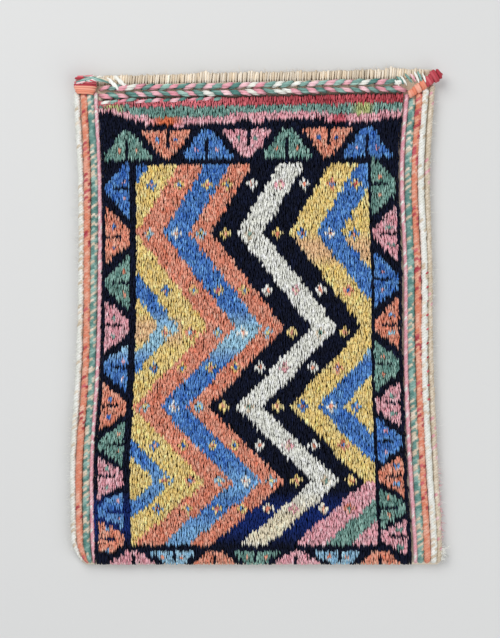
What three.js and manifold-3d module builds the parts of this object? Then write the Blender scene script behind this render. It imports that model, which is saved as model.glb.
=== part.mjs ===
// Spoon bag: a small flat wool bag for spoons and other kitchen tools, lying on its back.
// The front is knotted pile with a zigzag field inside a border of triangles, the back is plain
// weave, and both are one woven length folded at the bottom. Wrapped cords close the two sides,
// two twined rows and a hem finish the mouth, and wound yarn binds the two mouth corners.
// Millimetres, +Z up: X runs across the bag, Y from the bottom fold to the mouth.
//
// Every piece is laid out flat and straight first, with the two layers of cloth close together.
// drape() then lifts the front off the back, lets the sides wander and sags the mouth.
import * as THREE from "three";
import { TessellateModifier } from "three/addons/modifiers/TessellateModifier.js";
import { mergeVertices } from "three/addons/utils/BufferGeometryUtils.js";
import Module from "manifold-3d";

const wasm = await Module();
wasm.setup();

// Cloth
const PILE_WIDTH = 216; // knotted front, between the two inner side cords
const BAG_LENGTH = 351; // bottom fold to the back's hem
const BACK_THICK = 2.4; // plain weave of the back
const GROUND_THICK = 2.2; // foundation that the pile is knotted on
const PILE_HEIGHT = 2.8; // the dark wool, which wears lowest
const PILE_INSET = 1.2; // bottom fold to the first row of knots
const FOLD_DEPTH = 6; // bottom fold to the end of the pocket inside
const SEAM_ALLOWANCE = 0.2; // cloth outside the outermost side cord
const SEAM_PRESS = 0.4; // the sewn margins are this much flatter than the front's ground
const CLEARANCE = 0.3; // between a cord and what it lies on or beside

// Mouth
const HEM_WIDTH = 6.2; // turned edge of the back
const HEM_THICK = 4.4;
const MOUTH_SLOT = 0.8; // seen from above, between the hem and the front's edge
const STRAND_DIAMETER = 2.2; // one yarn of a twined row
const TWINE_TURNS = 17;
const WRAP_TURNS = 6; // yarn wound round a mouth corner
const WRAP_RIDGE = 0.5;
const WRAP_ASIDE = 0.8; // from the pile to the yarn of a wrap
// A wrap's tilt is in degrees outwards, and flat is its height as a share of its width.
const LEFT_WRAP = { length: 13, width: 16, knob: 0, flat: 0.44, tilt: 0 };
const RIGHT_WRAP = { length: 27, width: 6.6, knob: 8.8, flat: 0.8, tilt: 54 };

// How the bag lies
const LAID_GAP = 0.8; // between the layers where they are sewn together
const LOFT = 9; // how far the front stands off the back at the middle
const LOFT_RISE = 70; // from the fold to the full loft
const MOUTH_SAG = 0.6; // the front's edge hangs down between the corners
const SAG_REACH = 60;
const MOUTH_LEAN = 5; // the right end of the mouth lies this much higher than the left
const LEAN_REACH = 120;
const FOLD_ROUNDING = 9; // the front rolls down over this length into the fold
const FOLD_DROP = 0.4; // share of the height that is lost at the fold
const LEFT_WANDER = [4, 4.6, 0.4, -1, -0.9, 2.2]; // outwards, from the fold to the mouth
const RIGHT_WANDER = [6.8, 3, 0, -0.6, -2.8, 1.4];
const TUCK_REACH = 20; // the margins grow narrower over this length above the fold
const LEFT_TUCK = 0.55; // share of its width that a margin has lost at the fold
const RIGHT_TUCK = 0.08;

// Yarns: colour, and how much higher than the dark wool each one has worn
const YARNS = {
  dark: { colour: 0x1a1d2e, rise: 0 },
  blue: { colour: 0x3768a8, rise: 0.5 },
  sky: { colour: 0x86b0cf, rise: 0.5 },
  orange: { colour: 0xc4623f, rise: 0.9 },
  yellow: { colour: 0xd2a348, rise: 0.7 },
  ivory: { colour: 0xdfd9c6, rise: 1.1 },
  pink: { colour: 0xcf7480, rise: 0.8 },
  green: { colour: 0x557d6c, rise: 0.6 },
  crimson: { colour: 0xb0384a, rise: 0.8 },
  undyed: { colour: 0xd8c6a8, rise: 0 },
};

// Side cords, from the pile outwards
const PINK_CORD = 2.9; // diameters
const GREEN_CORD = 4.4;
const ORANGE_CORD = 4.3;
const IVORY_CORD = 4.2;
const UNDYED_CORD = 3.8;
const LEFT_CORDS = [
  { yarn: "pink", diameter: PINK_CORD },
  { yarn: "green", diameter: GREEN_CORD },
  { yarn: "orange", diameter: ORANGE_CORD },
  { yarn: "ivory", diameter: IVORY_CORD },
];
const RIGHT_CORDS = [...LEFT_CORDS, { yarn: "undyed", diameter: UNDYED_CORD }];

// Pattern of the front, from the bottom fold upwards and from left to right
const BOTTOM_BORDER = 15;
const TOP_BORDER = 28.7;
const SIDE_BORDER = 24;
const FRAME_LINE = 3.6; // dark line between a border and the field
const OUTER_LINE = 3.4; // dark line outside a border
const TOP_LINE = 5.2; // dark lines above and below the top border
const SLIT_WIDTH = 2.4; // dark slit along a triangle's axis
const SLIT_SHARE = 0.72; // of the triangle's height
const TIP_WIDTH = 7; // the triangles are blunt
const BASE_SHARE = 1.22; // a triangle's base, of the distance to its neighbour
const STRIPES = [
  { yarn: "pink", width: 5.7 },
  { yarn: "green", width: 6.4 },
  { yarn: "crimson", width: 6.4 },
];
// The triangles of a border, in shares of its length: where the first one stands, the step to
// the next, and how much closer each step is than the one before, halved.
const BORDERS = {
  top: { yarns: ["green", "orange", "blue", "pink"], count: 7, start: 0.088, step: 0.133, closer: 0 },
  bottom: { yarns: ["pink", "sky", "orange", "green"], count: 7, start: 0.116, step: 0.13, closer: 0 },
  left: { yarns: ["blue", "orange", "green", "pink"], count: 9, start: 0.066, step: 0.129, closer: 0.003 },
  right: { yarns: ["green", "pink", "blue", "orange"], count: 9, start: 0.059, step: 0.129, closer: 0.003 },
};
const SWING = 52; // sideways reach of a zigzag's limb
const TURNS = [
  // where the zigzag turns: share of the field's length, share of the swing
  { along: 0, across: 0 },
  { along: 0.17, across: 1 },
  { along: 0.366, across: 0 },
  { along: 0.573, across: 1 },
  { along: 0.819, across: 0 },
  { along: 1, across: 0.6 },
];
const BANDS = [
  { yarn: "yellow", width: 30 },
  { yarn: "blue", width: 13.5 },
  { yarn: "yellow", width: 21.3 },
  { yarn: "orange", width: 19.2 },
  { yarn: "blue", width: 18.8 },
  { yarn: "orange", width: 15.3 },
  { yarn: "dark", width: 19.9 },
  { yarn: "ivory", width: 17.7 },
  { yarn: "dark", width: 18.8 },
  { yarn: "yellow", width: 19.6, last: "pink" },
  { yarn: "blue", width: 17.7, last: "green" },
  { yarn: "yellow", width: 90, last: "pink" },
];
const FIRST_BAND = -148; // left side of the first band where the zigzag turns left

// Fineness of the faceted surfaces
const CLOTH_FACET = 46; // longest edge that is left straight when the cloth is draped
const CORD_SIDES = 7;
const CORD_STEPS = 18;
const CORD_CROWDING = 1.6;
const STRAND_SIDES = 5;
const STRAND_STEPS = 5; // per turn
const WRAP_SEGMENTS = 12;
const OVERLAP = 0.6; // solids that are joined reach this far into each other

// Levels and lines of the flat layout
const seamTop = BACK_THICK + LAID_GAP + GROUND_THICK;
const marginTop = seamTop - SEAM_PRESS;
const pileTop = seamTop + PILE_HEIGHT;
const frontEnd = BAG_LENGTH - HEM_WIDTH - MOUTH_SLOT;
const pairDiameter = 2 * STRAND_DIAMETER + CLEARANCE;
const twineWidth = 2 * (pairDiameter + CLEARANCE);
const pileEnd = frontEnd - twineWidth;
const stripesWidth = STRIPES.reduce((sum, stripe) => sum + stripe.width, 0);
const borderEnd = pileEnd - stripesWidth;
const field = {
  left: -PILE_WIDTH / 2 + SIDE_BORDER,
  right: PILE_WIDTH / 2 - SIDE_BORDER,
  bottom: BOTTOM_BORDER,
  top: borderEnd - TOP_BORDER,
};
const marginOf = (cords) =>
  cords.reduce((sum, cord) => sum + cord.diameter + CLEARANCE, 0) + SEAM_ALLOWANCE;
const leftEdge = -PILE_WIDTH / 2 - marginOf(LEFT_CORDS);
const rightEdge = PILE_WIDTH / 2 + marginOf(RIGHT_CORDS);

// Solids: closed three.js geometry in and out of the boolean library

function toSolid(geometry) {
  const bare = geometry.clone();
  bare.deleteAttribute("normal");
  bare.deleteAttribute("uv");
  const merged = mergeVertices(bare, 1e-4);
  return new wasm.Manifold(
    new wasm.Mesh({
      numProp: 3,
      vertProperties: merged.attributes.position.array,
      triVerts: new Uint32Array(merged.index.array),
    }),
  );
}

function toGeometry(solid) {
  const mesh = solid.getMesh();
  return new THREE.BufferGeometry()
    .setAttribute("position", new THREE.BufferAttribute(mesh.vertProperties, 3))
    .setIndex(new THREE.BufferAttribute(mesh.triVerts, 1));
}

const joinAll = (solids) => solids.reduce((whole, solid) => whole.add(solid));

// A flat outline raised from one level to another.
function prism(shape, low, high) {
  const geometry = new THREE.ExtrudeGeometry(shape, {
    depth: high - low,
    bevelEnabled: false,
    curveSegments: 6,
  });
  return toSolid(geometry.translate(0, 0, low));
}

// A profile drawn in Y and Z, carried across the bag from one X to another.
function acrossBag(profile, from, to) {
  const geometry = new THREE.ExtrudeGeometry(profile, {
    depth: to - from,
    bevelEnabled: false,
    curveSegments: 6,
  });
  const turned = new THREE.Matrix4().makeBasis(
    new THREE.Vector3(0, 1, 0),
    new THREE.Vector3(0, 0, 1),
    new THREE.Vector3(1, 0, 0),
  );
  return toSolid(geometry.applyMatrix4(turned).translate(from, 0, 0));
}

function polygon(points) {
  return new THREE.Shape(points.map(([x, y]) => new THREE.Vector2(x, y)));
}

function rectangle(left, right, bottom, top) {
  return polygon([
    [left, bottom],
    [right, bottom],
    [right, top],
    [left, top],
  ]);
}

// How the flat layout comes to lie on the floor

const smooth = (share) => {
  const s = THREE.MathUtils.clamp(share, 0, 1);
  return s * s * (3 - 2 * s);
};

function wanderCurve(offsets) {
  return new THREE.SplineCurve(
    offsets.map((out, i) => new THREE.Vector2(i / (offsets.length - 1), out)),
  );
}
const leftWander = wanderCurve(LEFT_WANDER);
const rightWander = wanderCurve(RIGHT_WANDER);

function gapAt(x, y) {
  const acrossShare = Math.min(1, Math.abs(x) / (PILE_WIDTH / 2));
  const crown = 1 - acrossShare ** 4;
  const rise = smooth((y - FOLD_DEPTH) / LOFT_RISE);
  return LAID_GAP + LOFT * crown * rise;
}

// Outside the pile, the margins change their width towards the fold.
function tuckMargin(x, y) {
  const outside = Math.max(0, Math.abs(x) - PILE_WIDTH / 2);
  const nearFold = 1 - THREE.MathUtils.clamp(y / TUCK_REACH, 0, 1);
  const tuck = x < 0 ? LEFT_TUCK : RIGHT_TUCK;
  return x - Math.sign(x) * outside * tuck * nearFold ** 2;
}

function drape(point) {
  const { x, y, z } = point;
  const along = THREE.MathUtils.clamp(y / BAG_LENGTH, 0, 1);
  const across = THREE.MathUtils.clamp(x / PILE_WIDTH + 0.5, 0, 1);
  const left = leftWander.getPoint(along).y;
  const right = rightWander.getPoint(along).y;
  const isHem = y > frontEnd + MOUTH_SLOT / 2;
  const front = isHem ? 0 : THREE.MathUtils.clamp((z - BACK_THICK) / LAID_GAP, 0, 1);
  const sag = MOUTH_SAG * Math.sin(Math.PI * across) * smooth(1 - (frontEnd - y) / SAG_REACH);
  const lean = MOUTH_LEAN * (across - 0.5) * smooth(1 - (BAG_LENGTH - y) / LEAN_REACH);
  const lift = front * (gapAt(x, y) - LAID_GAP);
  const nearFold = 1 - Math.min(1, Math.max(0, y) / FOLD_ROUNDING);
  point.x = tuckMargin(x, y) + across * right - (1 - across) * left;
  point.y = y - front * sag + lean;
  point.z = z * (1 - FOLD_DROP * nearFold ** 2) + lift;
  return point;
}

function drapeGeometry(geometry) {
  const position = geometry.getAttribute("position");
  const point = new THREE.Vector3();
  for (let i = 0; i < position.count; i++) {
    point.fromBufferAttribute(position, i);
    drape(point);
    position.setXYZ(i, point.x, point.y, point.z);
  }
  geometry.computeVertexNormals();
  return geometry;
}

// The woven length: back, bottom fold, front, and the pile with its pattern

// The folded strip seen from its side, with the pocket between its two layers left open.
function foldedProfile() {
  const shape = new THREE.Shape();
  const pocketMiddle = BACK_THICK + LAID_GAP / 2;
  shape.moveTo(seamTop / 2, 0);
  shape.lineTo(BAG_LENGTH, 0);
  shape.lineTo(BAG_LENGTH, BACK_THICK);
  shape.lineTo(FOLD_DEPTH, BACK_THICK);
  shape.absarc(FOLD_DEPTH, pocketMiddle, LAID_GAP / 2, -Math.PI / 2, Math.PI / 2, true);
  shape.lineTo(frontEnd, BACK_THICK + LAID_GAP);
  shape.lineTo(frontEnd, seamTop);
  shape.lineTo(seamTop / 2, seamTop);
  shape.absarc(seamTop / 2, seamTop / 2, seamTop / 2, Math.PI / 2, (3 * Math.PI) / 2, false);
  return shape;
}

// The sewn margins at the two sides, where the layers lie on each other.
function seamProfile() {
  const shape = new THREE.Shape();
  const radius = marginTop / 2;
  shape.moveTo(radius, 0);
  shape.lineTo(TUCK_REACH / 2, 0);
  shape.lineTo(TUCK_REACH, 0);
  shape.lineTo(frontEnd, 0);
  shape.lineTo(frontEnd, marginTop);
  shape.lineTo(TUCK_REACH, marginTop);
  shape.lineTo(TUCK_REACH / 2, marginTop);
  shape.lineTo(radius, marginTop);
  shape.absarc(radius, radius, radius, Math.PI / 2, (3 * Math.PI) / 2, false);
  return shape;
}

function hemProfile() {
  const shape = new THREE.Shape();
  const radius = HEM_THICK / 2;
  const inner = BAG_LENGTH - HEM_WIDTH + radius;
  const outer = BAG_LENGTH - radius;
  shape.moveTo(inner, 0);
  shape.lineTo(outer, 0);
  shape.absarc(outer, radius, radius, -Math.PI / 2, Math.PI / 2, false);
  shape.lineTo(inner, HEM_THICK);
  shape.absarc(inner, radius, radius, Math.PI / 2, (3 * Math.PI) / 2, false);
  return shape;
}

const zigzag = TURNS.map((turn) => ({
  x: turn.across * SWING,
  y: field.bottom + turn.along * (field.top - field.bottom),
}));
const lastTurn = zigzag[1].y; // below it the bands at the right change their yarn

// One zigzag band from its left line to its right line, between two heights.
function bandShape(left, right, bottom, top) {
  const turns = zigzag.filter(({ y }) => y >= bottom && y <= top);
  const upwards = turns.map(({ x, y }) => [right + x, y]);
  const downwards = turns.map(({ x, y }) => [left + x, y]).reverse();
  return polygon([...upwards, ...downwards]);
}

// Every coloured field as an outline with its yarn; what they leave bare is the dark ground.
function zigzagFields() {
  const fields = [];
  let left = FIRST_BAND;
  for (const band of BANDS) {
    const right = left + band.width;
    const split = band.last ? lastTurn : field.bottom;
    if (band.last) {
      fields.push({ yarn: band.last, shape: bandShape(left, right, field.bottom, split) });
    }
    fields.push({ yarn: band.yarn, shape: bandShape(left, right, split, field.top) });
    left = right;
  }
  return fields.filter(({ yarn }) => yarn !== "dark");
}

// A blunt triangle with a slit up its axis, standing on a base line and pointing along +Y.
function slitTriangle(base, height) {
  const half = base / 2;
  const tip = Math.min(TIP_WIDTH, base) / 2;
  const slit = SLIT_WIDTH / 2;
  const slitTop = height * SLIT_SHARE;
  return [
    [-half, 0],
    [-slit, 0],
    [-slit, slitTop],
    [slit, slitTop],
    [slit, 0],
    [half, 0],
    [tip, height],
    [-tip, height],
  ];
}

// A border is a row of such triangles, pointing out and in by turns. Rows across the bag run
// from the left, rows along it from the field's top.
function borderFields(edge) {
  const { yarns, count, start, step, closer } = BORDERS[edge];
  const upright = edge === "left" || edge === "right";
  const outer = {
    top: borderEnd - TOP_LINE,
    bottom: PILE_INSET,
    left: -PILE_WIDTH / 2 + OUTER_LINE,
    right: PILE_WIDTH / 2 - OUTER_LINE,
  }[edge];
  const inner = {
    top: field.top + TOP_LINE,
    bottom: field.bottom - FRAME_LINE,
    left: field.left - FRAME_LINE,
    right: field.right + FRAME_LINE,
  }[edge];
  const length = upright ? field.top - field.bottom : PILE_WIDTH;
  return Array.from({ length: count }, (_, i) => {
    const reach = length * (start + step * i - closer * i ** 2);
    const middle = upright ? field.top - reach : -PILE_WIDTH / 2 + reach;
    const base = length * BASE_SHARE * (step - 2 * closer * i);
    const outwards = (i % 2 === 0) !== (edge === "bottom");
    const [foot, tip] = outwards ? [inner, outer] : [outer, inner];
    const points = slitTriangle(base, Math.abs(tip - foot)).map(([along, up]) => {
      const level = foot + up * Math.sign(tip - foot);
      return upright ? [level, middle + along] : [middle + along, level];
    });
    return { yarn: yarns[i % yarns.length], shape: polygon(points) };
  });
}

const allBorderFields = () => Object.keys(BORDERS).flatMap(borderFields);

function stripeFields() {
  let low = borderEnd;
  return STRIPES.map(({ yarn, width }) => {
    const shape = rectangle(-PILE_WIDTH / 2, PILE_WIDTH / 2, low, low + width);
    low += width;
    return { yarn, shape };
  });
}

const fieldPrism = ({ yarn, shape }) =>
  prism(shape, seamTop - OVERLAP, pileTop + YARNS[yarn].rise);

function pileSolid() {
  const half = PILE_WIDTH / 2;
  const ground = prism(rectangle(-half, half, PILE_INSET, pileEnd), seamTop - OVERLAP, pileTop);
  const window = prism(
    rectangle(field.left, field.right, field.bottom, field.top),
    0,
    2 * pileTop,
  );
  const bands = joinAll(zigzagFields().map(fieldPrism)).intersect(window);
  const others = [...allBorderFields(), ...stripeFields()].map(fieldPrism);
  return joinAll([ground, bands, ...others]);
}

function clothSolid() {
  const half = PILE_WIDTH / 2;
  const strip = acrossBag(foldedProfile(), -half, half);
  const back = prism(rectangle(leftEdge, rightEdge, marginTop, BAG_LENGTH), 0, BACK_THICK);
  const leftSeam = acrossBag(seamProfile(), leftEdge, -half);
  const rightSeam = acrossBag(seamProfile(), half, rightEdge);
  const hem = acrossBag(hemProfile(), leftEdge, rightEdge);
  return joinAll([strip, back, leftSeam, rightSeam, hem, pileSolid()]);
}

// The yarn of the pile's coloured field that a point of the front lies in.
const colouredFields = [
  ...stripeFields(),
  ...allBorderFields(),
  ...zigzagFields(),
].map(({ yarn, shape }) => ({ yarn, outline: shape.getPoints() }));

function insideOutline({ x, y }, outline) {
  let inside = false;
  outline.forEach((a, i) => {
    const b = outline[(i + outline.length - 1) % outline.length];
    const crosses = a.y > y !== b.y > y;
    if (crosses && x < ((b.x - a.x) * (y - a.y)) / (b.y - a.y) + a.x) {
      inside = !inside;
    }
  });
  return inside;
}

function yarnAt(point) {
  if (point.z < seamTop + CLEARANCE) {
    return "undyed";
  }
  const found = colouredFields.find(({ outline }) => insideOutline(point, outline));
  return found ? found.yarn : "dark";
}

// Each facet of the cloth takes the colour of the yarn at its middle, before it is draped.
function paintFacets(geometry) {
  const position = geometry.getAttribute("position");
  const colours = new Float32Array(position.count * 3);
  const corner = new THREE.Vector3();
  const middle = new THREE.Vector3();
  const colour = new THREE.Color();
  for (let i = 0; i < position.count; i += 3) {
    middle.set(0, 0, 0);
    for (let k = 0; k < 3; k++) {
      middle.addScaledVector(corner.fromBufferAttribute(position, i + k), 1 / 3);
    }
    colour.set(YARNS[yarnAt(middle)].colour);
    for (let k = 0; k < 3; k++) {
      colour.toArray(colours, (i + k) * 3);
    }
  }
  return geometry.setAttribute("color", new THREE.BufferAttribute(colours, 3));
}

const wool = (options) => new THREE.MeshStandardMaterial({ roughness: 0.95, metalness: 0, ...options });

function named(name, geometry, material) {
  const mesh = new THREE.Mesh(geometry, material);
  mesh.name = name;
  return mesh;
}

function clothMesh() {
  const facets = new TessellateModifier(CLOTH_FACET, 24).modify(toGeometry(clothSolid()));
  return named("bag_cloth", drapeGeometry(paintFacets(facets)), wool({ vertexColors: true }));
}

// Where a corner wrap lies: its middle along the bag and outwards from the pile.
function wrapPlace({ length, width, tilt }) {
  const angle = THREE.MathUtils.degToRad(tilt);
  const along = (length * Math.cos(angle) + width * Math.sin(angle)) / 2;
  const across = (length * Math.sin(angle) + width * Math.cos(angle)) / 2;
  return { angle, along: BAG_LENGTH - along, across: WRAP_ASIDE + across };
}

// How far along the bag a cord can run before it meets the wrap, either at the wrap's end or at
// its slanted side; the cord's two sides lie this far out from the pile.
function cordEnd(wrap, inside, outside) {
  const { angle, along, across } = wrapPlace(wrap);
  const beyond = wrap.length / 2 + CLEARANCE;
  const aside = wrap.width / 2 + CLEARANCE;
  const atEnd = along - (beyond + Math.sin(angle) * (outside - across)) / Math.cos(angle);
  if (angle === 0) {
    return atEnd;
  }
  const atSide = along + (Math.cos(angle) * (inside - across) - aside) / Math.sin(angle);
  return Math.max(atEnd, atSide);
}

// Side cords: wool wrapped round bundles of warps, lying on the sewn margin

function circle(diameter, sides) {
  const corners = Array.from({ length: sides }, (_, i) => {
    const angle = ((i + 0.5) / sides) * 2 * Math.PI;
    return [(Math.cos(angle) * diameter) / 2, (Math.sin(angle) * diameter) / 2];
  });
  return polygon(corners);
}

// The steps along a cord crowd towards the fold, where it bends most.
function cordGeometry(x, diameter, start, end) {
  const geometry = new THREE.ExtrudeGeometry(circle(diameter, CORD_SIDES), {
    depth: 1,
    steps: CORD_STEPS,
    bevelEnabled: false,
  });
  geometry.rotateX(-Math.PI / 2).translate(x, 0, marginTop + CLEARANCE + diameter / 2);
  const position = geometry.getAttribute("position");
  for (let i = 0; i < position.count; i++) {
    const share = Math.max(0, position.getY(i)) ** CORD_CROWDING;
    position.setY(i, THREE.MathUtils.lerp(start, end, share));
  }
  return geometry;
}

function sideCords(side, cords, wrap, direction) {
  let outside = 0;
  return cords.map(({ yarn, diameter }) => {
    const inside = outside + CLEARANCE;
    outside = inside + diameter;
    const x = direction * (PILE_WIDTH / 2 + (inside + outside) / 2);
    const end = cordEnd(wrap, inside, outside);
    const geometry = drapeGeometry(cordGeometry(x, diameter, PILE_INSET, end));
    return named(`${side}_${yarn}_cord`, geometry, wool({ color: YARNS[yarn].colour }));
  });
}

// Twined rows: two yarns twisted round each other along the front's edge

class Helix extends THREE.Curve {
  constructor(from, to, height, level, turns, phase) {
    super();
    Object.assign(this, { from, to, height, level, turns, phase });
  }

  getPoint(share, target = new THREE.Vector3()) {
    const radius = (STRAND_DIAMETER + CLEARANCE) / 2;
    const angle = this.turns * 2 * Math.PI * share + this.phase;
    return target.set(
      THREE.MathUtils.lerp(this.from, this.to, share),
      this.height + radius * Math.cos(angle),
      this.level + radius * Math.sin(angle),
    );
  }
}

function twinedRow(row, height, twist) {
  const reach = PILE_WIDTH / 2 - pairDiameter;
  const level = seamTop + CLEARANCE + pairDiameter / 2;
  return ["pink", "green"].map((yarn, i) => {
    const path = new Helix(-reach, reach, height, level, twist * TWINE_TURNS, i * Math.PI);
    const geometry = new THREE.ExtrudeGeometry(circle(STRAND_DIAMETER, STRAND_SIDES), {
      steps: TWINE_TURNS * STRAND_STEPS,
      extrudePath: path,
      bevelEnabled: false,
    });
    return named(
      `${row}_${yarn}_strand`,
      drapeGeometry(geometry),
      wool({ color: YARNS[yarn].colour }),
    );
  });
}

// Corner wraps: yarn wound in a barrel over the ends of the side cords, the right one longer and
// with a round knob at its outer end

function wrapGeometry({ length, width, knob, flat }) {
  const profile = [new THREE.Vector2(0, -length / 2)];
  for (let i = 0; i <= 2 * WRAP_TURNS; i++) {
    const share = i / (2 * WRAP_TURNS);
    const belly = 0.72 + 0.28 * Math.sin(Math.PI * share);
    const ridge = i % 2 ? 0 : WRAP_RIDGE;
    const fromKnob = share * length - (length - knob / 2);
    const knobRadius = Math.sqrt(Math.max(0, (knob / 2) ** 2 - fromKnob ** 2));
    const radius = Math.max((width / 2) * belly, knobRadius) - ridge;
    profile.push(new THREE.Vector2(radius, (share - 0.5) * length));
  }
  profile.push(new THREE.Vector2(0, length / 2));
  const barrel = new THREE.LatheGeometry(profile, WRAP_SEGMENTS);
  barrel.deleteAttribute("normal");
  barrel.deleteAttribute("uv");
  return mergeVertices(barrel.scale(1, 1, flat), 1e-4);
}

function cornerWrap(side, wrap, direction) {
  const place = wrapPlace(wrap);
  const x = direction * (PILE_WIDTH / 2 + place.across);
  const z = marginTop + CLEARANCE + (wrap.flat * Math.max(wrap.width, wrap.knob)) / 2;
  const seat = drape(new THREE.Vector3(x, place.along, z));
  const geometry = wrapGeometry(wrap).rotateZ(-direction * place.angle);
  geometry.translate(seat.x, seat.y, seat.z);
  geometry.computeVertexNormals();
  return named(`${side}_corner_wrap`, geometry, wool({ color: YARNS.crimson.colour }));
}

// The whole bag, centred over its own box

const bag = new THREE.Group();
const firstRow = frontEnd - CLEARANCE - pairDiameter / 2;
const secondRow = firstRow - pairDiameter - CLEARANCE;
bag.add(
  clothMesh(),
  ...sideCords("left", LEFT_CORDS, LEFT_WRAP, -1),
  ...sideCords("right", RIGHT_CORDS, RIGHT_WRAP, 1),
  ...twinedRow("upper", firstRow, 1),
  ...twinedRow("lower", secondRow, -1),
  cornerWrap("left", LEFT_WRAP, -1),
  cornerWrap("right", RIGHT_WRAP, 1),
);
const middle = new THREE.Box3().setFromObject(bag).getCenter(new THREE.Vector3());
bag.position.set(-middle.x, -middle.y, 0);

export default bag;
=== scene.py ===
# Spoon bag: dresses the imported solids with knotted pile, wrapped cords, twined rows and a ribbed hem.
# Metres. X runs across the bag, Y from the bottom fold to the mouth, Z up out of the pile.
import math

import bpy
import numpy as np
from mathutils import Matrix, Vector


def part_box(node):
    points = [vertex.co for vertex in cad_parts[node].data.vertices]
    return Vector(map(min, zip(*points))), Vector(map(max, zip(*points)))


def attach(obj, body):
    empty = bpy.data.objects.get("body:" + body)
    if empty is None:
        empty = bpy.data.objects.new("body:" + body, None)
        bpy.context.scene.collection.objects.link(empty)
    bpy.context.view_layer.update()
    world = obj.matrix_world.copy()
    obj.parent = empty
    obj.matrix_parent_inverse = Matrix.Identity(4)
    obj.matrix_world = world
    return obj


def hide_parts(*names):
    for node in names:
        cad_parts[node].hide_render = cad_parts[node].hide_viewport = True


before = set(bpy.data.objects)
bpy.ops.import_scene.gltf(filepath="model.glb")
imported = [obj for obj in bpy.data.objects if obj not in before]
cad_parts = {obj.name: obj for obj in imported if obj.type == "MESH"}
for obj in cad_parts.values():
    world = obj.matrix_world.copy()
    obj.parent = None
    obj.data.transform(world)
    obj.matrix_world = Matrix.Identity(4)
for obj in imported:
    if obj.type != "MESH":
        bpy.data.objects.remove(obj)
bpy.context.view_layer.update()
rng = np.random.default_rng(7)
MM = 0.001

# Sizes of the cloth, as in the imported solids
PILE_WIDTH = 216 * MM
BAG_LENGTH = 351 * MM
BACK_THICK = 2.4 * MM
GROUND_THICK = 2.2 * MM
PILE_INSET = 1.2 * MM
LAID_GAP = 0.8 * MM
SEAM_PRESS = 0.4 * MM
LOFT = 9 * MM
LOFT_RISE = 70 * MM
FOLD_DEPTH = 6 * MM
FOLD_ROUNDING = 9 * MM
FOLD_DROP = 0.4
MOUTH_SAG = 0.6 * MM
SAG_REACH = 60 * MM
MOUTH_LEAN = 5 * MM
LEAN_REACH = 120 * MM
TUCK_REACH = 20 * MM
LEFT_TUCK = 0.55
RIGHT_TUCK = 0.08
HEM_WIDTH = 6.2 * MM
HEM_THICK = 4.4 * MM
MOUTH_SLOT = 0.8 * MM
CLEARANCE = 0.3 * MM
STRAND = 2.2 * MM
TWINE_TURNS = 17
WRAP_ASIDE = 0.8 * MM
LEFT_WANDER = np.array([4, 4.6, 0.4, -1, -0.9, 2.2]) * MM
RIGHT_WANDER = np.array([6.8, 3, 0, -0.6, -2.8, 1.4]) * MM
LEFT_CORDS = [("pink", 2.9 * MM), ("green", 4.4 * MM), ("orange", 4.3 * MM), ("ivory", 4.2 * MM)]
RIGHT_CORDS = LEFT_CORDS + [("undyed", 3.8 * MM)]

# Pattern of the front, from the bottom fold upwards and from left to right
KNOT = 2.5 * MM
BOTTOM_BORDER = 15 * MM
TOP_BORDER = 28.7 * MM
SIDE_BORDER = 24 * MM
FRAME_LINE = 3.6 * MM
OUTER_LINE = 3.4 * MM
TOP_LINE = 5.2 * MM
STRIPES = [("crimson", 6.4 * MM), ("green", 6.4 * MM), ("pink", 5.7 * MM)]  # downwards
STRIPE_DIPS = np.array([11, 6, 0, -1, 0, 1.5, 1.5, 3, 2, -1, 1, 3]) * MM  # their lower edge, upwards
SWING = 52 * MM
TURNS_ALONG = np.array([0, 0.17, 0.366, 0.573, 0.819, 1])
TURNS_ACROSS = np.array([0, 1, 0, 1, 0, 0.6])
FIRST_BAND = -148 * MM
BANDS = [
    ("yellow", 30 * MM),
    ("blue", 13.5 * MM),
    ("yellow", 21.3 * MM),
    ("orange", 19.2 * MM),
    ("blue", 18.8 * MM),
    ("orange", 15.3 * MM),
    ("dark", 19.9 * MM),
    ("ivory", 17.7 * MM),
    ("dark", 18.8 * MM),
    ("yellow", 19.6 * MM),
    ("blue", 17.7 * MM),
    ("yellow", 90 * MM),
]
LAST_BANDS = {9: "pink", 10: "green", 11: "pink"}  # below the last turn, at the right
FLOWER_ROWS = np.array([41, 62, 88, 115, 142, 168, 197, 237, 271]) * MM
BORDERS = {  # yarns, triangles, and in shares of the border: first one, step, and how it shrinks
    "top": (["green", "orange", "blue", "pink"], 7, 0.088, 0.133, 0),
    "bottom": (["pink", "sky", "orange", "green"], 7, 0.116, 0.13, 0),
    "left": (["blue", "orange", "green", "pink"], 10, 0.066, 0.129, 0.003),
    "right": (["green", "pink", "blue", "orange"], 10, 0.059, 0.129, 0.003),
}
EYES = {"green": "orange", "orange": "blue", "blue": "pink", "pink": "green", "sky": "orange"}
TIP_WIDTH = 7 * MM
BASE_SHARE = 1.22
SLIT_SHARE = 0.72
SIDE_OVERLAP = 4 * MM  # how far the side borders run into the bottom one
EYE_ASIDE = 2.6 * KNOT  # from the slit
EYE_RISE = 0.3
EYE_TALL = 0.09
FLOWER_INSET = 6 * MM  # from the sides of the field
LAST_FLOWER = 10 * MM  # from the left of the last band, which runs on past the field

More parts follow.
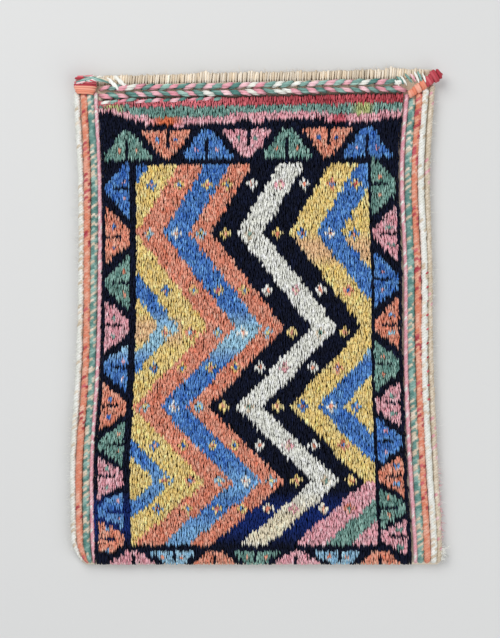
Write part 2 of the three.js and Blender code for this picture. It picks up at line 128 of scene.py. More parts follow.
# Yarn colours, 0 to 255: the dye where it took well, and the pale hairs among it
YARNS = {
    "dark": ((2, 5, 20), (22, 31, 62)),
    "blue": ((36, 92, 182), (136, 194, 244)),
    "sky": ((128, 180, 214), (206, 236, 246)),
    "orange": ((228, 134, 104), (250, 200, 178)),
    "yellow": ((242, 208, 120), (254, 240, 188)),
    "ivory": ((236, 236, 226), (255, 255, 250)),
    "pink": ((230, 156, 168), (252, 218, 222)),
    "green": ((88, 136, 128), (180, 214, 202)),
    "crimson": ((172, 54, 66), (226, 118, 126)),
    "undyed": ((214, 196, 170), (246, 234, 216)),
}
FLOWERS = {  # petals and heart on each ground
    "blue": [("yellow", "crimson"), ("ivory", "orange")],
    "orange": [("sky", "yellow"), ("yellow", "blue")],
    "yellow": [("blue", "orange"), ("orange", "blue")],
    "dark": [("ivory", "orange"), ("yellow", "orange")],
    "ivory": [("undyed", "green"), ("pink", "undyed")],
    "pink": [("green", "ivory"), ("orange", "green")],
    "green": [("ivory", "pink"), ("orange", "ivory")],
}

# Tufts of the pile
TUFTS_PER_KNOT = 3
TUFT_LENGTH = 5.6 * MM
TUFT_WIDTH = 1.25 * MM
ROOT_FORWARD = 1.2 * MM  # roots stand up the bag from their knot, as the tufts lean down it
LOWEST_TIP = 0.2 * MM  # along the bag, at the fold
PILE_RISE = {"dark": 0.8, "ivory": 1.1}  # worn low, or left high; the others stand at 1

# Ground cloth
CLOTH_COLUMNS = 56
FRONT_ROWS = 60
EDGE_INSET = 2 * MM
WEFT = 2.4 * MM  # ribs of the back's plain weave
WEFT_GROOVE = 0.35 * MM
ROWS_PER_RIB = 3

# Hem
HEM_PITCH = 1.75 * MM
HEM_LEFT = 8 * MM  # how far it runs past the pile
HEM_RIGHT = 14 * MM
HEM_LUMPS = np.array([-33, -1, 98]) * MM
LUMP_REACH = 3.5 * MM
LUMP_OUT = 1.4 * MM
LUMP_UP = 1.2 * MM

# Side cords
CORD_SIDES = 12
CORD_STARTS = 4  # yarns wound side by side round a cord
CORD_PITCH = 2.1 * MM
CORD_STEP = 0.5 * MM
CORD_TONES = 997  # windings before their tones repeat
CORD_FULLNESS = 1.2  # yarn stands out past the solid cord, so that neighbours touch
CORD_ROAM = 0.3 * MM
INTO_WRAP = 2 * MM  # how far the cords run on under a wrap
EDGE_MIDDLE = 4.7 * MM  # the outermost cord wraps the whole edge: its middle, and how tall it is
EDGE_FLAT = 1.42
FLECKS = {  # another yarn among the turns of a cord's wrapping, and its share
    "pink": ("ivory", 0.1),
    "green": ("undyed", 0.3),
    "orange": ("crimson", 0.12),
    "ivory": ("undyed", 0.15),
    "undyed": ("pink", 0.12),
}

# Twined rows
FLOAT_LENGTH = 10.5 * MM
FLOAT_THICK = 3.4 * MM
FLOAT_RISE = 2.2 * MM
FLOAT_DIP = 1.3 * MM  # of a float's ends, below the middle of its row
FLOAT_STEPS = 11
FLOAT_PLIES = 3
ROW_INSET = 2 * MM
THIRD_ROW_END = -18 * MM
THIRD_ROW_SIZE = 0.8

# Corner wraps and stitches
LEFT_WRAP = {"length": 13 * MM, "width": 16 * MM, "knob": 0, "flat": 0.44, "tilt": 0}
RIGHT_WRAP = {"length": 27 * MM, "width": 6.6 * MM, "knob": 8.8 * MM, "flat": 0.8, "tilt": 54}
WRAP_STEPS = 30  # to a turn
WRAP_SIDES = 8
TUBE_SIDES = 6  # of a rib, a ply or a stitch
STITCH_STEPS = 14
STITCH_PLIES = 2
CORNER_STITCH = 2.4 * MM
WHITE_STITCH = 3.6 * MM
SEAM_STITCH = 1.5 * MM
LEFT_STITCHES = [
    "ivory", "pink", "undyed", "green", "ivory", "pink", "crimson", "ivory", "green", "undyed"
]
RIGHT_STITCHES = ["ivory", "green", "ivory", "green", "pink", "ivory", "green", "ivory"]
SEAM_DOTS = np.arange(118, 212, 10) * MM
SEAM_INSET = 4.4 * MM  # from the right edge, between the two pale cords
HAIR_FLOOR = 0.3 * MM
EDGE_HAIRS = 300

# Camera
SENSOR = 24  # millimetres, upright
CAMERA_DISTANCE = 1.6
VIEW_HEIGHT = 0.453
PILE_LEVEL = 0.012
CAMERA_ASIDE = (-0.0043, -0.0014)

# Levels and lines of the flat layout
seam_top = BACK_THICK + LAID_GAP + GROUND_THICK
margin_top = seam_top - SEAM_PRESS
front_end = BAG_LENGTH - HEM_WIDTH - MOUTH_SLOT
pair_diameter = 2 * STRAND + CLEARANCE
pile_end = front_end - 2 * (pair_diameter + CLEARANCE)
border_end = pile_end - sum(width for _, width in STRIPES)
half_pile = PILE_WIDTH / 2
field_left = -half_pile + SIDE_BORDER
field_right = half_pile - SIDE_BORDER
field_bottom = BOTTOM_BORDER
field_top = border_end - TOP_BORDER
left_margin = sum(size + CLEARANCE for _, size in LEFT_CORDS)
right_margin = sum(size + CLEARANCE for _, size in RIGHT_CORDS)
UP = np.array([0, 0, 1.0])


def smooth(share):
    s = np.clip(share, 0, 1)
    return s * s * (3 - 2 * s)


# A smooth curve through evenly spaced offsets, read at a share of its length.
def wander(offsets, share):
    place = np.clip(share, 0, 1) * (len(offsets) - 1)
    first = np.minimum(place.astype(int), len(offsets) - 2)
    t = place - first
    last = len(offsets) - 1
    p0, p1 = offsets[np.maximum(first - 1, 0)], offsets[first]
    p2, p3 = offsets[first + 1], offsets[np.minimum(first + 2, last)]
    v0, v1 = (p2 - p0) / 2, (p3 - p1) / 2
    return (2 * p1 - 2 * p2 + v0 + v1) * t**3 + (3 * p2 - 3 * p1 - 2 * v0 - v1) * t**2 + v0 * t + p1


def gap_at(x, y):
    crown = 1 - np.minimum(1, np.abs(x) / half_pile) ** 4
    return LAID_GAP + LOFT * crown * smooth((y - FOLD_DEPTH) / LOFT_RISE)


# Outside the pile, the margins grow narrower towards the fold.
def tuck_margin(x, y):
    outside = np.maximum(0, np.abs(x) - half_pile)
    near_fold = 1 - np.clip(y / TUCK_REACH, 0, 1)
    tuck = np.where(x < 0, LEFT_TUCK, RIGHT_TUCK)
    return x - np.sign(x) * outside * tuck * near_fold**2


# The flat layout as it comes to lie: the front lifted, the sides wandering, the mouth sagging.
def drape_flat(points):
    x, y, z = points[..., 0], points[..., 1], points[..., 2]
    along = np.clip(y / BAG_LENGTH, 0, 1)
    across = np.clip(x / PILE_WIDTH + 0.5, 0, 1)
    front = np.clip((z - BACK_THICK) / LAID_GAP, 0, 1) * (y < front_end + MOUTH_SLOT / 2)
    sag = MOUTH_SAG * np.sin(np.pi * across) * smooth(1 - (front_end - y) / SAG_REACH)
    lean = MOUTH_LEAN * (across - 0.5) * smooth(1 - (BAG_LENGTH - y) / LEAN_REACH)
    lift = front * (gap_at(x, y) - LAID_GAP)
    near_fold = 1 - np.minimum(1, np.maximum(0, y) / FOLD_ROUNDING)
    sides = across * wander(RIGHT_WANDER, along) - (1 - across) * wander(LEFT_WANDER, along)
    height = z * (1 - FOLD_DROP * near_fold**2) + lift
    return np.stack([tuck_margin(x, y) + sides, y - front * sag + lean, height], axis=-1)


cloth_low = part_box("bag_cloth")[0]
cord_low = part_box("left_ivory_cord")[0]
outer_line = np.zeros((60, 3))
outer_line[:, 0] = -half_pile - left_margin
outer_line[:, 1] = np.linspace(0.05, 0.9, 60) * BAG_LENGTH
outer_line[:, 2] = seam_top
outer_line = drape_flat(outer_line)
shift = np.array([cord_low[0] - outer_line[:, 0].min(), cloth_low[1], cloth_low[2]])


def drape(points):
    return drape_flat(points) + shift


# Meshes from arrays

def srgb_to_linear(colour):
    c = np.asarray(colour, dtype=float) / 255
    return np.where(c <= 0.04045, c / 12.92, ((c + 0.055) / 1.055) ** 2.4)


YARN_NAMES = list(YARNS)
INDEX = {name: i for i, name in enumerate(YARN_NAMES)}
DEEP = np.array([srgb_to_linear(deep) for deep, _ in YARNS.values()])
PALE = np.array([srgb_to_linear(pale) for _, pale in YARNS.values()])


# A colour for each hair or strand of a yarn, between its deep and its pale one.
def yarn_colours(yarn, paleness):
    return DEEP[yarn] * (1 - paleness[..., None]) + PALE[yarn] * paleness[..., None]


def add_mesh(name, points, facets, colours, material, nodes):
    mesh = bpy.data.meshes.new(name)
    sides = facets.shape[1]
    mesh.vertices.add(len(points))
    mesh.vertices.foreach_set("co", points.astype(np.float32).ravel())
    mesh.loops.add(facets.size)
    mesh.loops.foreach_set("vertex_index", facets.astype(np.int32).ravel())
    mesh.polygons.add(len(facets))
    mesh.polygons.foreach_set("loop_start", np.arange(0, facets.size, sides, dtype=np.int32))
    mesh.polygons.foreach_set("use_smooth", np.ones(len(facets), dtype=bool))
    mesh.update(calc_edges=True)
    layer = mesh.attributes.new("yarn", "FLOAT_COLOR", "POINT")
    rgba = np.concatenate([np.clip(colours, 0, 1), np.ones((len(points), 1))], axis=1)
    layer.data.foreach_set("color", rgba.astype(np.float32).ravel())
    mesh.materials.append(material)
    piece = bpy.data.objects.new(name, mesh)
    bpy.context.scene.collection.objects.link(piece)
    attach(piece, "root")
    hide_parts(*nodes)
    return piece


# Two directions square to each line of a bundle, the second one nearest to up.
def across_lines(lines, up):
    tangents = np.gradient(lines, axis=1)
    tangents /= np.linalg.norm(tangents, axis=2, keepdims=True)
    side = np.cross(tangents, np.broadcast_to(up, tangents.shape))
    side /= np.linalg.norm(side, axis=2, keepdims=True)
    return side, np.cross(side, tangents)


# Many tubes at once: centre lines (tubes, rings, 3) and radii (tubes, rings, sides).
# flat stretches a tube along its own up direction. Returns points by tube, and triangles.
def sweep(lines, radii, up, flat=1.0):
    tubes, rings, sides = radii.shape
    side, rise = across_lines(lines, up)
    angle = 2 * np.pi * np.arange(sides) / sides + np.pi / 2
    ring = lines[:, :, None, :] + radii[..., None] * (
        np.cos(angle)[:, None] * side[:, :, None, :]
        + flat * np.sin(angle)[:, None] * rise[:, :, None, :]
    )
    points = np.concatenate(
        [ring.reshape(tubes, rings * sides, 3), lines[:, :1], lines[:, -1:]], axis=1
    )
    k = np.arange(sides)
    n = (k + 1) % sides
    r = (np.arange(rings - 1) * sides)[:, None]
    end = (rings - 1) * sides
    first, last = np.full(sides, rings * sides), np.full(sides, rings * sides + 1)
    pattern = np.concatenate(
        [
            np.stack([r + n + sides, r + n, r + k], axis=-1).reshape(-1, 3),
            np.stack([r + k + sides, r + n + sides, r + k], axis=-1).reshape(-1, 3),
            np.stack([k, n, first], axis=-1),
            np.stack([end + n, end + k, last], axis=-1),
        ]
    )
    return points, repeat_facets(pattern, tubes, points.shape[1])


def repeat_facets(pattern, copies, points_each):
    steps = (np.arange(copies) * points_each)[:, None, None]
    return (pattern[None] + steps).reshape(-1, 3)


# Many hairs at once: centre lines (hairs, steps, 3) that end in a point, and the radii of their
# three-sided rings (hairs, steps - 1). Returns points by hair, and one hair's triangles.
def spikes(lines, radii, up):
    hairs, rings = radii.shape
    side, rise = across_lines(lines, up)
    angle = 2 * np.pi * np.arange(3) / 3 + np.pi / 2
    ring = lines[:, :-1, None, :] + radii[..., None, None] * (
        np.cos(angle)[:, None] * side[:, :-1, None, :]
        + np.sin(angle)[:, None] * rise[:, :-1, None, :]
    )
    points = np.concatenate([ring.reshape(hairs, rings * 3, 3), lines[:, -1:]], axis=1)
    pattern = [[0, 1, 2]]
    for k in range(3):
        n = (k + 1) % 3
        for r in range(0, 3 * (rings - 1), 3):
            pattern += [[r + n + 3, r + n, r + k], [r + k + 3, r + n + 3, r + k]]
        pattern.append([3 * (rings - 1) + n, 3 * (rings - 1) + k, 3 * rings])
    return points, np.array(pattern)


# Colours of tubes or hairs: one for each, and a brightness for each of its rings, with which some
# pieces paint shade and highlights along their length.
def ring_colours(colours, ring_shade, sides, ends):
    shade = np.concatenate([np.repeat(ring_shade, sides), ends])
    return colours[:, None, :] * shade[None, :, None]


def wool_material(name, roughness, sheen):
    material = bpy.data.materials.new(name)
    material.use_nodes = True
    nodes = material.node_tree.nodes
    shader = nodes["Principled BSDF"]
    shader.inputs["Roughness"].default_value = roughness
    shader.inputs["Specular IOR Level"].default_value = 0.2
    shader.inputs["Sheen Weight"].default_value = sheen
    shader.inputs["Sheen Roughness"].default_value = 0.5
    yarn = nodes.new("ShaderNodeAttribute")
    yarn.attribute_name = "yarn"
    material.node_tree.links.new(yarn.outputs["Color"], shader.inputs["Base Color"])
    return material


# Pattern of the pile: the yarn of every knot

def zigzag_at(y):
    along = (y - field_bottom) / (field_top - field_bottom)
    return SWING * np.interp(along, TURNS_ALONG, TURNS_ACROSS)


def paint_bands(yarn, x, y):
    inside = (x > field_left) & (x < field_right) & (y > field_bottom) & (y < field_top)
    last_turn = field_bottom + TURNS_ALONG[1] * (field_top - field_bottom)
    left = FIRST_BAND + zigzag_at(y)
    for i, (name, width) in enumerate(BANDS):
        here = inside & (x >= left) & (x < left + width)
        yarn[here] = INDEX[name]
        if i in LAST_BANDS:
            yarn[here & (y < last_turn)] = INDEX[LAST_BANDS[i]]
        left = left + width


def paint_border(yarn, x, y, edge):
    yarns, count, start, step, closer = BORDERS[edge]
    upright = edge in ("left", "right")
    length = field_top - field_bottom if upright else PILE_WIDTH
    along, across = (field_top - y, x) if upright else (x + half_pile, y)
    outer, inner = {
        "top": (border_end - TOP_LINE, field_top + TOP_LINE),
        "bottom": (0.0, field_bottom - FRAME_LINE),
        "left": (-half_pile + OUTER_LINE, field_left - FRAME_LINE),
        "right": (half_pile - OUTER_LINE, field_right + FRAME_LINE),
    }[edge]
    for i in range(count):
        aside = along - length * (start + step * i - closer * i**2)
        half_base = length * BASE_SHARE * (step - 2 * closer * i) / 2
        outwards = (i % 2 == 0) != (edge == "bottom")
        foot, tip = (inner, outer) if outwards else (outer, inner)
        rise = (across - foot) / (tip - foot)
        reach = TIP_WIDTH / 2 + (half_base - TIP_WIDTH / 2) * (1 - rise)
        inside = (rise >= 0) & (rise <= 1) & (np.abs(aside) < reach)
        if upright:
            inside &= y > field_bottom - SIDE_OVERLAP
        slit = (np.abs(aside) < 0.5 * KNOT) & (rise < SLIT_SHARE)
        name = yarns[i % len(yarns)]
        yarn[inside & ~slit] = INDEX[name]
        beside_slit = np.abs(np.abs(aside) - EYE_ASIDE) < 0.5 * KNOT
        eye = beside_slit & (np.abs(rise - EYE_RISE) < EYE_TALL)
        yarn[inside & eye] = INDEX[EYES[name]]


# Stripes under the mouth; their lower edge was woven unevenly.
def paint_stripes(yarn, x, y):
    edge = border_end + wander(STRIPE_DIPS, x / PILE_WIDTH + 0.5)
    share = (pile_end - y) / (pile_end - edge)
    top = 0.0
    for name, width in STRIPES:
        bottom = top + width / (pile_end - border_end)
        yarn[(share >= top) & (share < bottom)] = INDEX[name]
        top = bottom
    yarn[share < 0] = INDEX[STRIPES[0][0]]


def paint_flowers(yarn, columns, rows):
    ground = yarn.copy()
    for k, height in enumerate(FLOWER_ROWS):
        row = int(np.argmin(np.abs(rows - height)))
        left = FIRST_BAND + zigzag_at(np.array([rows[row]]))[0]
        for i, (_, width) in enumerate(BANDS):
            middle = left + width / 2 if i < len(BANDS) - 1 else left + LAST_FLOWER
            left += width
            if not field_left + FLOWER_INSET < middle < field_right - FLOWER_INSET:
                continue
            column = int(np.argmin(np.abs(columns - middle)))
            petals, heart = FLOWERS[YARN_NAMES[ground[row, column]]][(i + k) % 2]
            for step_row, step_column in ((0, 1), (0, -1), (1, 0), (-1, 0)):
                yarn[row + step_row, column + step_column] = INDEX[petals]
            yarn[row, column] = INDEX[heart]


columns = np.arange(-half_pile + KNOT / 2, half_pile, KNOT)
rows = np.arange(KNOT * 0.8, pile_end, KNOT)
knot_x, knot_y = np.meshgrid(columns, rows)
knot_yarn = np.full(knot_x.shape, INDEX["dark"])
for edge in BORDERS:
    paint_border(knot_yarn, knot_x, knot_y, edge)
paint_bands(knot_yarn, knot_x, knot_y)
paint_stripes(knot_yarn, knot_x, knot_y)
paint_flowers(knot_yarn, columns, rows)


# Dye changes along the bag: each new batch of yarn took its colour a little differently.
def tint(colours, yarn, x, y):
    def blend(name, where, other, amount):
        share = (amount * where * (yarn == INDEX[name]))[:, None]
        colours[:] = colours * (1 - share) + srgb_to_linear(other) * share

    def near(value, middle, reach):
        return np.clip(1.5 - np.abs(value - middle * MM) / (reach * MM), 0, 1)

    striped = y > border_end
    blend("blue", near(y, 164, 13), (186, 226, 240), 0.85)
    blend("blue", near(y, 60, 10), (160, 208, 236), 0.45)
    blend("blue", near(y, 22, 12), (160, 208, 236), 0.6)
    blend("dark", near(y, 35, 13) * (x < field_right) * (y > field_bottom), (24, 50, 124), 0.85)
    blend("ivory", near(y, 30, 16), (248, 234, 204), 0.8)
    blend("yellow", near(y, 226, 9) * (x > 30 * MM), (240, 200, 164), 0.8)
    blend("yellow", near(y, 168, 8) * (x < -50 * MM), (240, 200, 164), 0.8)
    blend("crimson", np.clip(0.4 - x / (60 * MM), 0, 1), (232, 140, 148), 0.75)
    blend("green", striped * near(x, -98, 6), (206, 206, 130), 0.8)
    blend("green", striped * near(x, 79, 6), (206, 206, 130), 0.8)
    blend("pink", striped * near(x, -60, 9), (226, 120, 66), 0.9)
    blend("pink", striped * near(x, 62, 5), (208, 70, 90), 0.8)
    return colours


# Pile: tufts that stand up from the ground and lean towards the bottom of the bag.
def add_pile():
    each = TUFTS_PER_KNOT
    count = knot_x.size * each
    yarn = np.repeat(knot_yarn.ravel(), each)
    pair = np.tile(np.arange(each), knot_x.size)
    x = np.repeat(knot_x.ravel(), each) + ((pair + 0.5) / each - 0.5) * KNOT
    x = x + rng.normal(0, 0.2 * MM, count)
    y = np.repeat(knot_y.ravel(), each) + rng.normal(0, 0.5 * MM, count)
    length = TUFT_LENGTH * rng.uniform(0.8, 1.2, count)
    sway = rng.normal(0, 0.5 * MM, count)
    lean = rng.uniform(0.8, 1.1, count)
    rise = np.array([PILE_RISE.get(name, 1.0) for name in YARN_NAMES])[yarn] * length
    # shares of a tuft's sway, lean and rise at its root, its two bends and its tip
    swayed = np.array([0, 0.25, 0.7, 1.0])
    leant = np.array([0, 0.12, 0.5, 0.95])
    risen = np.array([0, 0.4, 0.6, 0.5])
    line = np.zeros((count, 4, 3))
    line[:, :, 0] = x[:, None] + sway[:, None] * swayed
    line[:, :, 1] = y[:, None] + ROOT_FORWARD - (length * lean)[:, None] * leant
    line[:, :, 1] = np.maximum(line[:, :, 1], LOWEST_TIP)
    line[:, :, 2] = seam_top + (rise * (1.05 - 0.1 * lean))[:, None] * risen
    width = TUFT_WIDTH * rng.uniform(0.75, 1.25, count) / 2
    points, pattern = spikes(line, width[:, None] * np.array([0.8, 1.05, 0.95]), UP)
    points = drape(points)
    knot_tone = np.repeat(rng.beta(1.3, 1.8, knot_x.size), each)
    colours = yarn_colours(yarn, 0.6 * knot_tone + 0.4 * rng.beta(1, 1.6, count))
    colours = tint(colours, yarn, x, y) * np.exp(rng.normal(0, 0.14, count))[:, None]
    # Painted shade and highlight: each tuft darkens towards its root, where its neighbours shade it,
    # and its tip is painted lighter.
    shades = ring_colours(colours, np.array([0.6, 0.85, 1.0]), 3, [1.12])
    for i, name in enumerate(YARN_NAMES):
        chosen = np.flatnonzero(yarn == i)
        add_mesh(
            f"pile_{name}",
            points[chosen].reshape(-1, 3),
            repeat_facets(pattern, len(chosen), points.shape[1]),
            shades[chosen].reshape(-1, 3),
            pile_wool,
            ["bag_cloth"],
        )


# Quads of a closed sheet: n by m points on the outside, then as many on the inside.
def sheet_facets(n, m):
    i, j = np.meshgrid(np.arange(n - 1), np.arange(m - 1), indexing="ij")
    a = (i * m + j).ravel()
    outer = np.stack([a, a + m, a + m + 1, a + 1], axis=-1)
    inner = outer[:, ::-1] + n * m
    j = np.arange(m - 1)
    left = np.stack([j, j + 1, j + 1 + n * m, j + n * m], axis=-1)
    right = left[:, ::-1] + (n - 1) * m
    i = np.arange(n - 1) * m
    first = np.stack([i, i + n * m, i + m + n * m, i + m], axis=-1)
    last = first[:, ::-1] + m - 1
    return np.concatenate([outer, inner, left, right, first, last])


# Woven length: back, bottom fold and the ground that the pile stands on, as one closed sheet.
# The back shows the ribs of its weft, with painted shade in their grooves, and the ground under the
# pile is painted dark as the shade between the tufts.
def add_cloth():
    bends = np.linspace(-np.pi / 2, -3 * np.pi / 2, 9)[1:-1]
    middle = seam_top / 2
    ribs = int((BAG_LENGTH - middle) / WEFT)
    back = np.linspace(BAG_LENGTH, middle, ROWS_PER_RIB * ribs + 1)
    groove = np.arange(len(back)) % ROWS_PER_RIB == 0
    front = np.linspace(middle, front_end, FRONT_ROWS)
    outer_y = np.concatenate([back, middle + middle * np.cos(bends), front])
    outer_z = np.concatenate(
        [WEFT_GROOVE * groove, middle + middle * np.sin(bends), 0 * front + seam_top]
    )
    gap_middle = BACK_THICK + LAID_GAP / 2
    inner_y = np.concatenate(
        [
            np.maximum(back, FOLD_DEPTH),
            FOLD_DEPTH + LAID_GAP / 2 * np.cos(bends),
            np.maximum(front, FOLD_DEPTH),
        ]
    )
    inner_z = np.concatenate(
        [
            0 * back + BACK_THICK,
            gap_middle + LAID_GAP / 2 * np.sin(bends),
            0 * front + BACK_THICK + LAID_GAP,
        ]
    )
    left_edge = -half_pile - left_margin + EDGE_INSET
    right_edge = half_pile + right_margin - EDGE_INSET
    across = np.linspace(left_edge, right_edge, CLOTH_COLUMNS)
    outer = np.stack(np.broadcast_arrays(across[:, None], outer_y, outer_z), axis=-1)
    inner = np.stack(np.broadcast_arrays(across[:, None], inner_y, inner_z), axis=-1)
    n, m = outer.shape[:2]
    points = drape(np.concatenate([outer.reshape(-1, 3), inner.reshape(-1, 3)]))
    weft = np.repeat(rng.beta(1.2, 1.6, m), ROWS_PER_RIB)[:m]
    paleness = np.clip(weft + rng.normal(0, 0.15, (2, n, m)), 0, 1)
    colours = yarn_colours(np.full(paleness.shape, INDEX["undyed"]), paleness)
    # Painted shade: the grooves between the back's ribs are darkened.
    colours[0][:, : len(back)][:, groove] *= 0.6
    # Painted shade between the tufts: the ground's outer face under the pile takes the dark yarn's
    # colour, lightened, where only shade shows through the pile.
    under_rows = (outer_z > seam_top * 0.9) & (outer_y < pile_end)
    painted_shade_under_pile = under_rows & (np.abs(across)[:, None] < half_pile)
    colours[0][painted_shade_under_pile] = DEEP[INDEX["dark"]] * 1.5
    cloth = add_mesh(
        "ground_cloth", points, sheet_facets(n, m), colours.reshape(-1, 3),
        weave_wool, ["bag_cloth"],
    )


# Hem: the back's turned edge, overcast with undyed wool side by side, lumpy in a few places.
def add_hem():
    x = np.arange(-half_pile - HEM_LEFT, half_pile + HEM_RIGHT, HEM_PITCH)
    count = len(x)
    x = x + rng.normal(0, 0.2 * MM, count)
    lumps = sum(np.exp(-(((x - place) / LUMP_REACH) ** 2)) for place in HEM_LUMPS)
    start = front_end + 0.55 * MM
    path = np.array(  # over the hem and round its outer edge: along the bag, and up
        [
            [start, 2 * MM],
            [start + 0.1 * MM, HEM_THICK + 0.4 * MM],
            [start + 2 * MM, HEM_THICK + 0.9 * MM],
            [BAG_LENGTH - 2 * MM, HEM_THICK + 0.7 * MM],
            [BAG_LENGTH - 0.4 * MM, HEM_THICK - 0.8 * MM],
            [BAG_LENGTH + 0.1 * MM, HEM_THICK / 2],
            [BAG_LENGTH - 0.6 * MM, 1 * MM],
        ]
    )
    steps = np.linspace(-1, 1, len(path))
    outwards = np.array([0, 0, 0.2, 0.6, 1, 1, 0.8])
    lines = np.zeros((count, len(path), 3))
    lines[:, :, 0] = x[:, None] + rng.normal(0.35 * MM, 0.25 * MM, count)[:, None] * steps
    out = rng.normal(0, 0.35 * MM, count) + LUMP_OUT * lumps
    lines[:, :, 1] = path[:, 0] + out[:, None] * outwards
    up = rng.normal(0, 0.2 * MM, count) + LUMP_UP * lumps
    lines[:, :, 2] = path[:, 1] + up[:, None] * outwards
    fullness = np.array([0.9, 1, 1.05, 1.05, 1, 0.9, 0.7])
    radii = HEM_PITCH * 0.46 * rng.uniform(0.8, 1.25, count)[:, None] * fullness
    points, triangles = sweep(lines, radii[:, :, None] * np.ones(TUBE_SIDES), np.array([1.0, 0, 0]))
    paleness = np.clip(rng.beta(1, 1.3, count) + 0.6 * lumps, 0, 1)
    colours = yarn_colours(np.full(count, INDEX["undyed"]), paleness)
    colours *= np.exp(rng.normal(0, 0.12, count))[:, None]
    # Painted shade: each rib darkens towards both ends, where it goes under the hem, and its end caps
    # are dark.
    ring_shade = np.array([0.5, 0.8, 1, 1, 1, 0.9, 0.7])
    shades = ring_colours(colours, ring_shade, TUBE_SIDES, [0.5, 0.7])
    add_mesh(
        "hem_ribs", drape(points).reshape(-1, 3), triangles, shades.reshape(-1, 3),
        yarn_wool, ["bag_cloth"],
    )


# A cord wrapped with yarn at a slant: ridges run round it as a screw with several starts, and
# some turns are of another yarn.
def add_wrapped_cord(name, line, diameter, flat, yarn, node):
    length = np.concatenate([[0], np.cumsum(np.linalg.norm(np.diff(line, axis=0), axis=1))])
    turn = np.arange(CORD_SIDES) / CORD_SIDES
    strand = length[:, None] / CORD_PITCH + CORD_STARTS * turn[None, :]
    ridge = np.abs(np.sin(np.pi * strand)) ** 0.7
    number = np.floor(strand).astype(int) % CORD_TONES
    lumps = 1 + rng.normal(0, 0.07, CORD_TONES)[number] + rng.normal(0, 0.03, ridge.shape)
    taper = np.minimum(1, np.minimum(length, length[-1] - length) / (0.6 * diameter) + 0.45)
    radii = (diameter / 2) * (0.76 + 0.24 * ridge) * lumps * taper[:, None]
    points, triangles = sweep(line[None], radii[None], UP, flat)
    fleck, share = FLECKS[yarn]
    yarns = np.where(rng.random(CORD_TONES) < share, INDEX[fleck], INDEX[yarn])[number]
    tones = rng.beta(0.9, 1.8, CORD_TONES)[number]
    paleness = np.clip(tones + rng.normal(0, 0.12, ridge.shape), 0, 1)
    # Painted shade: the colour darkens between the ridges, in the grooves of the winding.
    colours = yarn_colours(yarns, paleness) * (0.55 + 0.45 * ridge)[..., None]
    colours = colours.reshape(-1, 3)
    colours = np.concatenate([colours, colours[:1], colours[-1:]])
    add_mesh(name, drape(points[0]), triangles, colours, yarn_wool, [node])


# Where a corner wrap lies, and how far along the bag a cord runs before it meets the wrap.
def wrap_place(wrap):
    angle = math.radians(wrap["tilt"])
    along = (wrap["length"] * math.cos(angle) + wrap["width"] * math.sin(angle)) / 2
    across = (wrap["length"] * math.sin(angle) + wrap["width"] * math.cos(angle)) / 2
    return angle, BAG_LENGTH - along, WRAP_ASIDE + across


def cord_end(wrap, inside, outside):
    angle, along, across = wrap_place(wrap)
    beyond = wrap["length"] / 2 + CLEARANCE
    at_end = along - (beyond + math.sin(angle) * (outside - across)) / math.cos(angle)
    if angle == 0:
        return at_end
    aside = wrap["width"] / 2 + CLEARANCE
    return max(at_end, along + (math.cos(angle) * (inside - across) - aside) / math.sin(angle))


def add_side_cords(side, cords, wrap, direction):
    outside = 0
    for yarn, size in cords:
        inside = outside + CLEARANCE
        outside = inside + size
        y = np.arange(PILE_INSET, cord_end(wrap, inside, outside) + INTO_WRAP, CORD_STEP)
        offset = (inside + outside) / 2
        roam = CORD_ROAM * np.sin(y / (31 * MM) + offset * 900)
        line = np.zeros((len(y), 3))
        line[:, 0] = direction * (half_pile + offset) + roam
        line[:, 1] = y
        line[:, 2] = margin_top + CLEARANCE + size / 2
        flat = 1.0
        if yarn == cords[-1][0]:
            flat = EDGE_FLAT
            line[:, 2] = EDGE_MIDDLE
        name = f"{side}_{yarn}_cord"
        add_wrapped_cord(f"wrapped_{name}", line, CORD_FULLNESS * size, flat, yarn, name)


